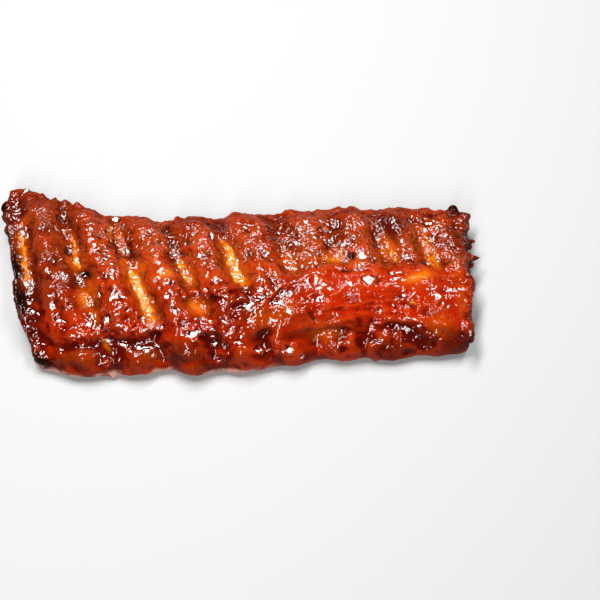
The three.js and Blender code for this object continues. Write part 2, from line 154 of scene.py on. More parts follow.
# Broad darker places under the stains, in the same terms: partly browned meat, partly painted shade.
SHADES = [
    (-139, 27, 5, 16, 0, 0.92), (-146, 48, 6, 14, 15, 0.8), (-121, -22, 7, 12, 20, 0.55),
    (-101, 5, 8, 16, 5, 0.82), (-125, 4, 6, 10, 0, 0.95), (-90, 8, 8, 9, -30, 0.35),
    (-74, -15, 7, 7, 0, 0.4), (-50, -21, 8, 6, 0, 0.55), (-31, 39, 8, 9, 0, 0.65),
    (-8, 31, 6, 7, 0, 0.45), (33, 26, 6, 10, 0, 0.55), (88, 38, 15, 6, -65, 0.85),
    (93, 36, 9, 9, 0, 0.95), (80, 43, 8, 7, 0, 0.5), (62, 36, 8, 8, 0, 0.3),
    (131, 30, 9, 16, 0, 0.45), (127, -12, 12, 14, 0, 0.2), (-98, -46, 22, 9, 4, 0.55),
    (122, -34, 14, 7, 0, 0.5), (127, -36, 10, 9, 0, 0.85), (8, -17, 14, 6, -20, 0.42),
    (35, -6, 8, 12, 0, 0.35), (-6, -21, 11, 6, 0, 0.42), (32, -17, 14, 9, 0, 0.45),
    (-30, -43, 16, 7, 0, 0.65), (-57, -42, 11, 7, 0, 0.72), (-66, -44, 14, 7, 0, 0.3),
    (92, -38, 11, 9, 0, 0.7), (52, -31, 10, 6, 0, 0.25), (136, -22, 5, 12, 0, 0.25),
]
# Broad lighter places, in the same terms: partly lighter glaze, partly painted light.
LIGHTS = [
    (-127, 41, 8, 8, 0, 0.6), (-113, 42, 8, 8, 0, 0.35), (78, 9, 8, 8, 0, 0.3),
    (-112, 31, 7, 12, -60, 0.4), (-47, 38, 6, 7, 0, 0.3), (-64, 18, 8, 7, 0, 0.38),
    (20, 45, 8, 5, 0, 0.35), (7, -37, 9, 6, 0, 0.62), (-19, -37, 6, 5, 0, 0.5),
    (35, -37, 12, 6, 0, 0.7), (12, 46, 6, 5, 0, 0.2), (114, 12, 7, 6, 0, 0.4),
    (17, -48, 12, 5, 0, 0.6), (-67, -29, 18, 4, 0, 0.3), (0, 8, 8, 6, 0, 0.2),
    (134, -20, 4, 12, 0, 0.2),
]

# Places with little wet glaze on them, in the same terms.
DULL_STAINS = [
    (-118, 42, 12, 9, -20, 0.92), (-112, 18, 11, 11, -60, 0.8), (-73, 32, 4, 10, 20, 0.9),
    (-106, -4, 10, 8, 0, 0.8), (33, -9, 10, 6, 10, 0.6), (125, 20, 8, 12, 0, 0.4),
    (-62, 28, 8, 8, 0, 0.3), (-5, 38, 6, 6, 0, 0.4), (-95, -46, 24, 6, 0, 0.55),
    (48, 2, 18, 6, 0, 0.5), (-60, -44, 14, 5, 0, 0.65), (94, -31, 16, 6, 0, 0.6),
    (48, -33, 12, 6, 0, 0.5), (-137, 52, 8, 8, 0, 0.6), (90, -4, 12, 5, 0, 0.5),
    (92, 37, 9, 9, 0, 0.5), (-139, 27, 4, 14, 0, 0.6), (-145, 49, 5, 12, 10, 0.7),
    (-24, -17, 7, 5, -40, 0.8),
]

# Level pools of glaze that catch the light whole: x, y, half length, half width, turn.
POOLS = [
    (-140, 58, 2.2, 1.4, 40), (-132, 63, 1.6, 1.2, 10), (-76, 44, 2.6, 2.0, 0),
    (-97, 21, 3.0, 0.9, -50), (-98, -16, 1.8, 1.2, -40), (-77, -25, 2.6, 1.8, 60),
    (-72, -12, 2.2, 1.4, 30), (-82, -9, 1.4, 1.2, 0), (-26, -33, 4.2, 1.8, 8),
    (-20, -31, 1.8, 1.4, 50), (-36, -22, 2.6, 1.2, -60), (-41, -13, 2.2, 1.6, 0),
    (-32, -11, 2.6, 1.4, -30), (7, -17, 2.4, 1.4, 40), (30, -20, 3.0, 0.9, -60),
    (31, -40, 2.4, 1.4, -30), (38, -43, 1.2, 1.2, 0), (12, -40, 2.2, 1.4, -20),
    (-50, -43, 1.8, 1.2, 0), (-17, 29, 1.4, 2.2, 0), (8, 29, 2.4, 1.2, 50), (74, 15, 2.4, 2.0, 60),
    (77, -1, 3.6, 2.4, -20), (84, -19, 1.2, 2.2, 10), (50, -4, 1.6, 1.2, 0), (91, 4, 1.6, 1.2, 40),
    (114, 11, 1.8, 1.2, 0), (119, -16, 2.4, 1.0, 50), (-13, -37, 1.6, 1.0, 0),
    (-10, -10, 2.2, 1.2, 20), (4, -5, 1.6, 1.0, 40), (40, 39, 1.6, 1.0, 20), (66, -13, 1.6, 1.0, 0),
    (93, -18, 1.8, 0.9, 70), (-19, -7, 1.8, 1.4, 0), (-7, -27, 2.4, 0.8, -50),
    (-46, -29, 2.6, 1.2, 20), (-69, -28, 2.0, 1.0, -20), (-60, -29, 1.6, 1.2, 40),
    (-56, -23, 2.2, 1.0, 10), (-64, -20, 1.6, 1.2, 0), (-51, -12, 1.8, 1.2, 60),
    (-105, -24, 1.4, 1.0, 0), (-23, 15, 1.4, 1.0, 30), (-1, 13, 1.2, 1.8, 0),
    (-61, 23, 1.6, 1.0, 40), (46, 11, 1.4, 1.0, 0), (124, 30, 1.6, 1.0, 30), (14, -8, 1.8, 1.4, 0),
    (-88, -26, 1.6, 1.2, 0),
]

# Pits (negative) and knobs on the meat: x, y, half length, half width, turn, height.
DENTS = [
    (67, 16, 2.2, 2.2, 0, -2.6), (-103, 21, 3, 2, -60, -1.2), (-91, 4, 3, 2, -40, -1.2),
    (-49, -33, 4, 2.4, 0, -2.2), (-21, -33, 4, 2.4, -30, -2.0), (16, -32, 5, 2.6, 20, -2.2),
    (-14, -14, 5, 2.4, -10, -2.0), (2, -17, 5, 2.2, 15, -1.6), (-5, -10, 4, 2, 30, -1.4),
    (101, -40, 6, 2.6, 0, -2.0), (57, 14, 4, 2.4, 0, -1.0), (-28, -16, 4, 2, -50, -1.2),
    (-96, -33, 15, 4, 4, 1.6), (70, 9, 5, 3, 20, 1.0), (77, -1, 6, 4, 0, 1.0),
    (-28, -33, 7, 3.4, 0, 1.0), (-40, -12, 6, 4, 0, 1.0), (-62, -16, 6, 4, 0, 0.8),
    (-48, 47, 4, 2.4, 20, 1.0), (114, 14, 3, 3, 0, 1.0), (5, 27, 5, 3, 0, 0.8),
]

# Lumps and grooves of the near roll, which add up: x, y, half length, half width, turn, height.
ROLL_LUMPS = [
    (-30, -41, 12, 7, 0, 1.6), (-46, -38, 4, 8, 15, -1.5), (-14, -37, 4, 7, -15, -1.3),
    (-57, -44, 8, 5, 0, 1.0), (-89, -45, 11, 5, 5, 1.2), (4, -43, 9, 6, 0, 1.0),
    (-71, -44, 4, 6, 0, -0.8), (17, -40, 4, 6, 0, -1.0), (31, -41, 8, 5, 0, 0.8),
    (69, -34, 5, 7, 0, 1.4), (101, -40, 7, 4, 0, 0.8),
]

# Crags on the ends and the far edge, each at the surface nearest to it: x, y, z, size, height.
CRAGS = [
    (129, 52, 20, 4.2, 1.6), (133, 51, 19, 2.4, 0.9), (124, 52, 20, 7.0, 0.9),
    (137.5, 45, 16, 2.2, 2.8), (138.5, 41, 16, 1.8, -1.5), (138.5, 37.5, 16, 2.0, 1.6),
    (139, 33, 16, 2.0, -1.0), (138.5, 29, 15, 3.0, 2.0), (138.5, 29.5, 15.5, 1.8, 3.0),
    (139, 24, 15, 2.2, -1.4), (138.8, 18, 15, 3.0, 2.4), (138.8, 18, 15.5, 1.8, 4.4),
    (139.5, 12.5, 15, 2.5, -0.8), (134, -40, 10, 5.0, -2.0), (-148, 52, 18, 2.6, 1.0),
    (-147, 44, 16, 3.4, 1.2), (139, -1, 16, 2.2, 0.8), (137, -34, 16, 2.4, 1.4),
    (137, -26, 20, 2.0, 1.0), (128, -37, 12, 2.4, 1.0), (-145, 56, 20, 2.2, 0.8),
    (-142, 47, 20, 2.0, 1.2), (-142, 36, 18, 2.8, 2.0), (-136, 16, 22, 2.2, 0.8),
    (-127, -24, 20, 2.0, 1.0), (-119, -40, 16, 2.2, 1.0), (-131, 65, 18, 2.0, 1.2),
    (-122, 62, 18, 1.6, 1.8), (-113, 60, 19, 2.0, 1.8), (-117, 61, 18, 1.8, -0.8),
    (-107, 58, 19, 1.8, 1.8), (-110, 59, 19, 1.5, -0.8), (-101, 56, 19, 1.8, 1.4),
    (-47, 47, 20, 2.2, 1.0), (31, 54, 22, 2.4, 1.4), (58, 54, 22, 2.0, 1.2),
    (-30, 48, 20, 2.0, 0.8), (98, 54, 21, 2.2, 1.2), (122, 53, 20, 2.0, 1.2),
]

# Raised lines along the flap of meat and the fold: points of x, y, then half width and height.
RIDGES = [
    ([(8, -20), (14, -17), (19, -12), (25, -6), (33, -2), (43, 3), (52, 4)], 1.4, 0.8),
    ([(39, -20), (41, -24), (45, -27), (52, -27), (60, -24), (68, -23)], 1.4, 0.9),
    ([(49, -18), (62, -16), (70, -15), (80, -13), (97, -13)], 1.0, 0.45),
    ([(20, -18), (28, -19), (34, -21), (39, -20)], 1.2, 0.6),
    ([(-80, -34), (-72, -37), (-66, -38)], 1.2, 0.8),
    ([(80, -26), (88, -23), (98, -22), (108, -24), (118, -30)], 1.6, 0.7),
    ([(56, -27), (64, -27), (74, -28)], 1.2, 0.5),
    ([(124, 8), (130, 12), (136, 14)], 1.0, 0.8),
]

# The dark crease under the lump at the left end, as points of x, y.
LEFT_CREASE = [
    (-126, -26), (-113, -33), (-103, -39), (-90, -39), (-76, -35), (-58, -38), (-49, -33),
]


# ---- the eye and the lamps, in metres --------------------------------------------------

EYE_DISTANCE = 0.75
EYE_TILT = math.radians(70)
EYE_BACK = Vector((0, -math.cos(EYE_TILT), math.sin(EYE_TILT)))
LOOKED_AT = Vector((0.0366 + SHIFT[0] * MM, -0.008 + SHIFT[1] * MM, 0.014))
EYE = LOOKED_AT + EYE_BACK * EYE_DISTANCE
HALF_VIEW = 0.18                    # half the picture's width, at the rack
SENSOR = 36                         # the camera's sensor, in millimetres
KEY_PLACE = Vector((-0.22, 0.42, 1.05))

# Lamps: name, place, length and width, watts, turn about its own axis in degrees.
LAMPS = [
    ("key", KEY_PLACE, (0.75, 0.18), 21, 35),
    ("second", (0.40, 0.30, 1.10), (0.40, 0.14), 6.5, -50),
    ("front", (-0.15, -0.80, 0.95), (0.90, 0.12), 10.5, 80),
]
ROOM_LIGHT = 0.012
FLOOR_HALF = 3
FLOOR_DROP = 0.0002
FLOOR_GREY = (0.42, 0.42, 0.42)
FLOOR_ROUGHNESS = 0.9


# ---- small helpers --------------------------------------------------------------------

def smooth(a, b, v):
    """An even step from 0 at a to 1 at b; a may be the larger."""
    t = np.clip((v - a) / (b - a), 0, 1)
    return t * t * (3 - 2 * t)


def bell(v, half):
    return np.exp(-(v / half) ** 2)


def along(values, place):
    """A smooth curve through evenly spaced values, read at each place."""
    values = np.asarray(values, float)
    last = len(values) - 1
    i = np.clip(np.floor(place), 0, last - 1).astype(int)
    t = place - i
    a, b, c, d = (values[np.clip(i + n, 0, last)] for n in (-1, 0, 1, 2))
    return b + 0.5 * t * (c - a + t * (2 * a - 5 * b + 4 * c - d + t * (3 * (b - c) + d - a)))


def lattice(ix, iy, iz, seed):
    """A fixed value from -1 to 1 for each point of a grid, by mixing the bits of its place."""
    h = ix * 374761393 + iy * 668265263 + iz * 2147483647 + seed * 144665
    h = (h ^ (h >> 13)) * 1274126177 & 0xFFFFFFFF
    return ((h ^ (h >> 16)) & 0xFFFF) / 32767.5 - 1


# Turns the noise's grid, so that its rows don't show.
GRID_TURN = np.array([[0.80, 0.48, -0.36], [-0.60, 0.64, -0.48], [0.0, 0.60, 0.80]])


def noise(p, size, seed):
    """Smooth noise from -1 to 1 with features of about size, which may differ by axis."""
    q = p / np.asarray(size, float)
    if np.ndim(size) == 0:
        q = q @ GRID_TURN
    base = np.floor(q).astype(np.int64)
    f = q - base
    f = f * f * f * (f * (f * 6 - 15) + 10)
    total = np.zeros(len(p))
    for dx in (0, 1):
        for dy in (0, 1):
            for dz in (0, 1):
                weight = (f[:, 0] if dx else 1 - f[:, 0]) * (f[:, 1] if dy else 1 - f[:, 1])
                weight = weight * (f[:, 2] if dz else 1 - f[:, 2])
                total += weight * lattice(base[:, 0] + dx, base[:, 1] + dy, base[:, 2] + dz, seed)
    return total


def ridged(p, size, seed):
    return 1 - 2 * np.abs(noise(p, size, seed))


def cells(p, size, seed):
    """Distance to the nearest of a set of scattered points, 0 to about 1, for cells of size."""
    q = p / size
    base = np.floor(q).astype(np.int64)
    nearest = np.full(len(p), 9.0)
    for dx in (-1, 0, 1):
        for dy in (-1, 0, 1):
            for dz in (-1, 0, 1):
                c = base + (dx, dy, dz)
                spot = [c[:, a] + 0.5 + 0.45 * lattice(*c.T, seed + a) for a in range(3)]
                nearest = np.minimum(nearest, sum((q[:, a] - spot[a]) ** 2 for a in range(3)))
    return np.sqrt(nearest)


def in_oval(x, y, cx, cy, length, width, turn):
    """Each place in an oval's own terms, along it and across it; its rim is at distance 1."""
    c, s = math.cos(math.radians(turn)), math.sin(math.radians(turn))
    u, v = x - cx, y - cy
    return (u * c + v * s) / length, (v * c - u * s) / width


def spots(x, y, rows):
    """The strongest of a list of soft ovals at each place."""
    most = np.zeros(len(x))
    for *oval, strength in rows:
        u, v = in_oval(x, y, *oval)
        shape = strength * np.exp(-(u * u + v * v) ** 1.3)
        most = np.where(np.abs(shape) > np.abs(most), shape, most)
    return most


def line_distance(x, y, points):
    """Distance from each place to a broken line."""
    nearest = np.full(len(x), 1e3)
    for (ax, ay), (bx, by) in zip(points, points[1:]):
        dx, dy = bx - ax, by - ay
        t = np.clip(((x - ax) * dx + (y - ay) * dy) / (dx * dx + dy * dy), 0, 1)
        nearest = np.minimum(nearest, np.hypot(x - ax - t * dx, y - ay - t * dy))
    return nearest


# ---- rib lines ------------------------------------------------------------------------

def rib_x(k, y):
    """The x of the rack's line k at each y: 0 is the left end, 1 to 9 the ribs, 10 the right end."""
    t = (FAR_ROW - y) / (FAR_ROW - NEAR_ROW)
    return along(FAR_X, k) * (1 - t) + along(NEAR_X, k) * t


def rib_place(x, y):
    """The line k on which each place lies, found by halving."""
    knots = np.linspace(-0.5, RIBS + 1.5, 241)
    steps = range(len(knots))
    t = (FAR_ROW - y) / (FAR_ROW - NEAR_ROW)
    far = along(FAR_X, knots)
    near = along(NEAR_X, knots)
    lo = np.zeros(len(x))
    hi = np.full(len(x), len(knots) - 1.0)
    for _ in range(14):
        mid = 0.5 * (lo + hi)
        at = (1 - t) * np.interp(mid, steps, far) + t * np.interp(mid, steps, near)
        lo = np.where(at < x, mid, lo)
        hi = np.where(at < x, hi, mid)
    return np.interp(0.5 * (lo + hi), steps, knots)


def bare_lane(rib, off, y, p):
    """Distance from the uneven middle line of the bare part of each rib's bone."""
    near = np.clip((DRIFT_FROM - y) / DRIFT_OVER, 0, 1)
    drift = np.where(rib == 1, FIRST_DRIFT * near, 0.0)
    return off + drift + noise(p, 7.0, seed=41) + 1.5 * noise(p, 3.4, seed=45)


def bareness(rib, y):
    """How far each rib's bone shows at each y, from 0 to 1, and its half width there."""
    most = np.zeros(len(y))
    wide = np.full(len(y), 2.0)
    for number, stretches in enumerate(BARE_STRETCHES, 1):
        for far, near, strength, far_half, near_half in stretches:
            taper = smooth(far + 3, far - 5, y) * smooth(near - 3, near + 5, y)
            half = far_half + (near_half - far_half) * np.clip((far - y) / (far - near), 0, 1)
            here = (rib == number) & (strength * taper > most)
            most = np.where(here, strength * taper, most)
            wide = np.where(here, half * (0.4 + 0.6 * taper), wide)
    return most, wide


# ---- mesh helpers ---------------------------------------------------------------------

def add_object(name, data):
    obj = bpy.data.objects.new(name, data)
    bpy.context.scene.collection.objects.link(obj)
    return obj


def new_object(name, vertices, faces):
    mesh = bpy.data.meshes.new(name)
    mesh.from_pydata(vertices, [], faces)
    mesh.update()
    return add_object(name, mesh)


def vertex_values(mesh, name):
    values = np.zeros(len(mesh.vertices) * 3)
    mesh.vertices.foreach_get(name, values)
    return values.reshape(-1, 3)


def mesh_points(mesh):
    return vertex_values(mesh, "co")


def mesh_normals(mesh):
    return vertex_values(mesh, "normal")


def set_points(mesh, points):
    mesh.vertices.foreach_set("co", points.ravel())
    mesh.update()


def mesh_edges(mesh):
    edges = np.zeros(len(mesh.edges) * 2, np.int64)
    mesh.edges.foreach_get("vertices", edges)
    return edges.reshape(-1, 2)


def relax(values, edges, rounds, keep=0.0):
    """Averages each vertex's value with its neighbours', again and again."""
    count = np.bincount(edges.ravel(), minlength=len(values)).astype(float)
    values = values.copy()
    flat = values.reshape(len(values), -1)
    for _ in range(rounds):
        total = np.zeros_like(flat)
        for column in range(flat.shape[1]):
            total[:, column] = np.bincount(edges[:, 0], flat[edges[:, 1], column], len(flat))
            total[:, column] += np.bincount(edges[:, 1], flat[edges[:, 0], column], len(flat))
        flat[:] = keep * flat + (1 - keep) * total / count[:, None]
    return values


def standing_out(points, normals, edges, rounds):
    """How far each vertex stands out of its smoothed surroundings, in millimetres."""
    return np.einsum("ij,ij->i", points - relax(points, edges, rounds), normals) / MM


def set_attribute(mesh, name, values):
    attribute = mesh.attributes.new(name, "FLOAT", "POINT")
    attribute.data.foreach_set("value", np.asarray(values, np.float32))


def shade_smooth(mesh):
    mesh.polygons.foreach_set("use_smooth", np.ones(len(mesh.polygons), bool))


def apply_modifiers(obj):
    graph = bpy.context.evaluated_depsgraph_get()
    made = bpy.data.meshes.new_from_object(obj.evaluated_get(graph))
    obj.modifiers.clear()
    obj.data = made


def remeshed(name, vertices, faces, voxel):
    """A new object with one even mesh over the given faces."""
    obj = new_object(name, vertices, faces)
    remesh = obj.modifiers.new("even", "REMESH")
    remesh.mode = "VOXEL"
    remesh.voxel_size = voxel * MM
    apply_modifiers(obj)
    return obj


def cad_mesh(node, grow=0.0):
    """A copy of a CAD node's vertices and faces, grown by so many millimetres."""
    welded = bmesh.new()
    welded.from_mesh(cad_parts[node].data)
    bmesh.ops.remove_doubles(welded, verts=welded.verts, dist=WELD)
    bmesh.ops.recalc_face_normals(welded, faces=welded.faces)
    welded.normal_update()
    points = [v.co + v.normal * grow * MM for v in welded.verts]
    faces = [[v.index for v in f.verts] for f in welded.faces]
    welded.free()
    return points, faces


# ---- the meat -------------------------------------------------------------------------

def meat_base():
    """The meat with its bone channels filled, as one fine even mesh."""
    vertices, faces = cad_mesh("meat")
    for rib in range(1, RIBS + 1):
        more, more_faces = cad_mesh(f"rib_bone_{rib}", CHANNEL_FILL)
        start = len(vertices)
        vertices += more
        faces += [[start + i for i in face] for face in more_faces]
    return remeshed("glazed_meat", vertices, faces, VOXEL)


def places(points, normals):
    """Where each vertex lies on the rack, and what it has to do with the forms of the CAD.

    k: its line along the rack. rib: the nearest line. off: how far right of that. shown, wide:
    how far the rib's bone shows, and its half width. up: how far it faces up. past: 1 beyond
    the near end of the valley. fold: y of the fold. end: distance from the nearer end."""
    x, y, z = points.T
    x = x - SHIFT[0]
    y = y - SHIFT[1]
    k = rib_place(x, y)
    rib = np.round(k)
    shown, wide = bareness(rib, y)
    valley_end = along(VALLEY_END, k)
    fold_wave = along(FOLD_WAVE, k) * (0.5 - 0.5 * np.cos(2 * math.pi * k))
    left_end = rib_x(np.zeros_like(k), y)
    right_end = rib_x(np.full_like(k, RIBS + 1), y)
    return {
        "x": x, "y": y, "z": z, "k": k, "rib": rib, "shown": shown, "wide": wide,
        "off": x - rib_x(rib, y),
        "up": normals[:, 2],
        "past": smooth(valley_end + 7, valley_end - 7, y),
        "fold": along(CREASE_Y, k) - fold_wave,
        "end": np.minimum(x - left_end, right_end - x),
    }


def soften(mesh, edges):
    """Smooths the mesh's steps away, most of all in the fold, and keeps the ends crisp.

    Returns the new points, in metres."""
    raw = mesh_points(mesh)
    set_points(mesh, relax(raw, edges, STEP_ROUNDS, keep=0.35))
    f = places(mesh_points(mesh) / MM, mesh_normals(mesh))
    points = mesh_points(mesh)
    soft = relax(points, edges, FOLD_ROUNDS)
    in_fold = bell(f["y"] - f["fold"], 8) * smooth(4, 9, f["z"])
    points += (soft - points) * (0.85 * in_fold)[:, None]
    points += (relax(raw, edges, CRISP_ROUNDS) - points) * smooth(8, 2, f["end"])[:, None]
    set_points(mesh, points)
    return points


def add_forms(f, p):
    """Adds the masks of the meat's main forms to its places.

    top: faces up. above: clear of the table. muscle: the smooth muscle on the right. roll: the
    near roll. wet: the wettest part, along the middle. back: distance from the far edge.
    crease: the left crease. lane: distance from the bare bone's middle. valley: over a rib."""
    x, y, fold = f["x"], f["y"], f["fold"]
    top = smooth(0.15, 0.6, f["up"])
    f["top"] = top
    f["above"] = smooth(0.6, 4, f["z"])
    f["muscle"] = smooth(12, 44, x) * smooth(12, 4, y) * smooth(fold - 6, fold + 2, y) * top
    f["roll"] = smooth(fold + 4, fold - 2, y)
    f["wet"] = smooth(-80, -50, x) * smooth(36, 10, x) * bell(y + 10 + 0.1 * x, 9) * top
    f["back"] = along(FAR_Y, f["k"]) - y
    f["crease"] = bell(line_distance(x, y + 1.2 * noise(p, 6.0, seed=23), LEFT_CREASE), 2.6) * top
    f["lane"] = bare_lane(f["rib"], f["off"], y, p)
    f["valley"] = (1 - f["past"]) * smooth(0.5, 1.0, f["rib"]) * smooth(9.5, 9.0, f["rib"]) * top


def texture(p, f):
    """Lumps, pebbles, fibres, crust and flakes: how far they stand out, in millimetres."""
    above = f["above"]
    rough = (1 - 0.6 * f["muscle"]) * (1 - 0.65 * f["roll"])
    pebble = 0.5 - cells(p, 3.4, seed=21)
    push = 0.9 * noise(p, 9.0, seed=11) * above
    push += 0.6 * noise(p, 4.8, seed=12) * above * (0.45 + 0.55 * rough)
    push += 0.3 * pebble * above * rough
    push += f["wet"] * (0.8 * noise(p, 5.5, seed=16) + 0.8 * noise(p, 3.8, seed=17))
    push += 0.35 * noise(p, (16.0, 2.6, 3.0), seed=14) * f["muscle"]
    crust = smooth(9, 0, f["end"]) * above
    push += crust * (0.9 * ridged(p, 3.6, seed=15) - 0.6)
    flakes = smooth(5, 0, f["back"]) * above * smooth(9, 15, f["z"])
    push += flakes * (1.2 * ridged(p, 5.0, seed=18) - 0.8)
    return push


def add_placed_forms(push, p, f):
    """Adds the pits, knobs, roll lumps, crags, ridges and crease that are placed one by one."""
    x, y, top = f["x"], f["y"], f["top"]
    push += spots(x, y, DENTS) * top
    for lump in ROLL_LUMPS:
        push += spots(x, y, [lump]) * top
    here = np.column_stack([x, y, p[:, 2]])
    for cx, cy, cz, size, height in CRAGS:
        nearest = here[np.argmin(((here - (cx, cy, cz)) ** 2).sum(1))]
        push += height * np.exp(-((here - nearest) ** 2).sum(1) / size ** 2)
    wander = 1.2 * noise(p, 6.0, seed=19)
    for points, half, height in RIDGES:
        push += height * bell(line_distance(x, y + wander, points), half) * top
    push -= f["crease"]


def shaped(mesh, p, f):
    """The meat's points after relief, bare stretches, valleys and left end, in metres."""
    bare = np.sqrt(f["shown"]) * np.exp(-np.abs(f["lane"] / (f["wide"] + 0.6)) ** 3) * f["top"]
    push = texture(p, f)
    add_placed_forms(push, p, f)
    push *= 1 - 0.7 * bare
    push -= BARE_DEPTH * bare
    dip = VALLEY_RIM - VALLEY_DIP * bell(f["off"], VALLEY_HALF)
    push += f["valley"] * dip * (1 - DIP_LOSS * smooth(-10, 40, f["x"]))
    points = (p + mesh_normals(mesh) * push[:, None]) * MM
    rows, out = np.array(LEFT_OUT, float).T
    on_left = smooth(14, 2, f["end"]) * (f["x"] < 0)
    points[:, 0] -= np.interp(f["y"], rows, out) * on_left * MM
    points[:, 2] = np.maximum(points[:, 2], 0.0)
    return points


def level_pools(points, p, f, up):
    """Levels the pools of glaze, each tipped halfway between the eye and the key lamp.

    Returns their mask."""
    mask = np.zeros(len(points))
    ragged = 1 + 0.6 * noise(p, 2.0, seed=47)
    for oval in POOLS:
        u, v = in_oval(f["x"], f["y"], *oval)
        reach = (u * u + v * v) * ragged
        core = (reach < 1) & (up > 0.2)
        if not core.any():
            continue
        middle = points[core].mean(0)
        tip = (EYE - Vector(middle)).normalized() + (KEY_PLACE - Vector(middle)).normalized()
        away = points - middle
        level = middle[2] - (tip.x * away[:, 0] + tip.y * away[:, 1]) / tip.z
        here = smooth(2.2, 0.9, reach) * smooth(0.0, 0.3, up)
        points[:, 2] += here * (level - points[:, 2])
        mask = np.maximum(mask, here)
    return mask


def browning_and_painted_shade(p, f, left, brim):
    """How dark each place is painted, from 0 to 1, and how much lighter, below 0: partly browning,
    partly painted shade, with painted light below 0.
    """
    x, y = f["x"], f["y"]
    # The left part browned; the far edge and the valleys' far ends darker, partly browned and partly
    # painted shade.
    shade = np.maximum(0.5 * left * smooth(-30, -10, y), 0.3 * brim)
    rind = smooth(8, 2, f["end"] + 2 * noise(p, 5.0, seed=44))
    rind_rows = np.where(x < 0, smooth(36, 16, y), 0.6 * smooth(0, 10, y))
    shade = np.maximum(shade, 0.85 * rind * rind_rows)
    return np.maximum(shade, spots(x, y, SHADES)) - spots(x, y, LIGHTS)


def meat_masks(points, p, f, normals, edges, pool):
    """What the meat's material reads at each vertex, by name."""
    x, y, top, roll, muscle = f["x"], f["y"], f["top"], f["roll"], f["muscle"]
    pits = standing_out(points, normals, edges, PIT_ROUNDS)
    pits += 1.5 * standing_out(points, normals, edges, FINE_ROUNDS)
    hollows = standing_out(points, normals, edges, HOLLOW_ROUNDS)
    near_bone = np.sqrt(f["shown"]) * bell(f["lane"], f["wide"] + 1.5) * top
    left = smooth(-84, -104, x) * top
    right = smooth(25, 60, x)
    z = points[:, 2] / MM
    foot = smooth(8, 4, z) * smooth(-0.3, -0.6, normals[:, 1])
    near_side = smooth(-0.2, -0.5, normals[:, 1])
    ragged = f["back"] + 2 * noise(p, 5.0, seed=43)
    edge = smooth(10, 3, ragged)
    brink = smooth(17, 7, ragged) * f["valley"]
    steep = smooth(0.85, 0.5, normals[:, 2])
    gritty = np.maximum.reduce([0.25 + 0.75 * smooth(4, 16, y), left, 0.85 * right * roll])
    calm_roll = 1 - (0.25 - 0.1 * right) * roll
    calm = calm_roll * (1 - 0.3 * left) * (1 - 0.3 * muscle) * (1 - 0.85 * pool)
    return {
        # cavity and hollow measure how far each place stands out; the material paints shade in the
        # hollows and a highlight on the knobs by them.
        "cavity": np.clip(pits, -1.5, 1.5) * (1 - 0.8 * near_bone),
        "hollow": np.clip(hollows, -6, 6) * (1 - 0.8 * near_bone),
        "muscle": muscle,
        "roll": roll,
        "curls": np.maximum(f["wet"], 0.8 * roll * smooth(-80, -50, x) * (1 - 0.8 * right)),
        "grit": gritty * (1 - pool),
        "calm": calm * (1 + 0.5 * smooth(0, 12, y)),
        "far": smooth(-14, 8, y),
        # pale: the band at the foot of the near side, partly pale fat and partly a painted sheen.
        "pale_fat_and_sheen": smooth(9, 6, z) * smooth(0.5, 2.0, z) * near_side * smooth(30, 0, x),
        "pool": pool,
        "crust": smooth(9, 1, f["end"] + 2 * noise(p, 5.0, seed=42)),
        "orange": np.maximum(spots(x, y, ORANGE_STAINS) * top, 0.85 * near_bone),
        "amber": np.maximum(spots(x, y, AMBER_STAINS),
                            0.7 * f["shown"] ** 2 * bell(f["lane"], f["wide"])) * top,
        "tan": spots(x, y, TAN_STAINS) * top,
        "char": spots(x, y, CHAR_STAINS) * smooth(-0.6, 0.0, f["up"]),
        # wine: dark red, partly glaze and partly painted shade, also in the left crease.
        "wine_and_shade": np.maximum(spots(x, y, WINE_AND_SHADE_STAINS), 0.6 * f["crease"]) * top,
        # shade: partly browning, partly painted shade; below 0, painted light.
        "shade": browning_and_painted_shade(p, f, left, np.maximum(edge, brink)),
        "dry": np.maximum.reduce([steep * (1 - 0.45 * foot), 0.4 * left, 0.9 * edge, 0.8 * brink,
                                  spots(x, y, DULL_STAINS),
                                  0.5 * smooth(f["fold"] - 2, f["fold"] - 6, y)]),
    }


def make_meat():
    """The glazed meat, from the CAD's: smoothed, shaped, with its pools and its masks."""
    obj = meat_base()
    mesh = obj.data
    edges = mesh_edges(mesh)
    p = soften(mesh, edges) / MM
    f = places(p, mesh_normals(mesh))
    add_forms(f, p)
    points = shaped(mesh, p, f)
    set_points(mesh, points)
    normals = mesh_normals(mesh)
    pool = level_pools(points, p, f, normals[:, 2])
    set_points(mesh, points)
    for name, values in meat_masks(points, p, f, normals, edges, pool).items():
        set_attribute(mesh, name, values)
    thin = obj.modifiers.new("thin", "DECIMATE")
    thin.ratio = MEAT_FACES / sum(len(polygon.vertices) - 2 for polygon in mesh.polygons)
    apply_modifiers(obj)
    shade_smooth(obj.data)
    return obj


# ---- the bones ------------------------------------------------------------------------

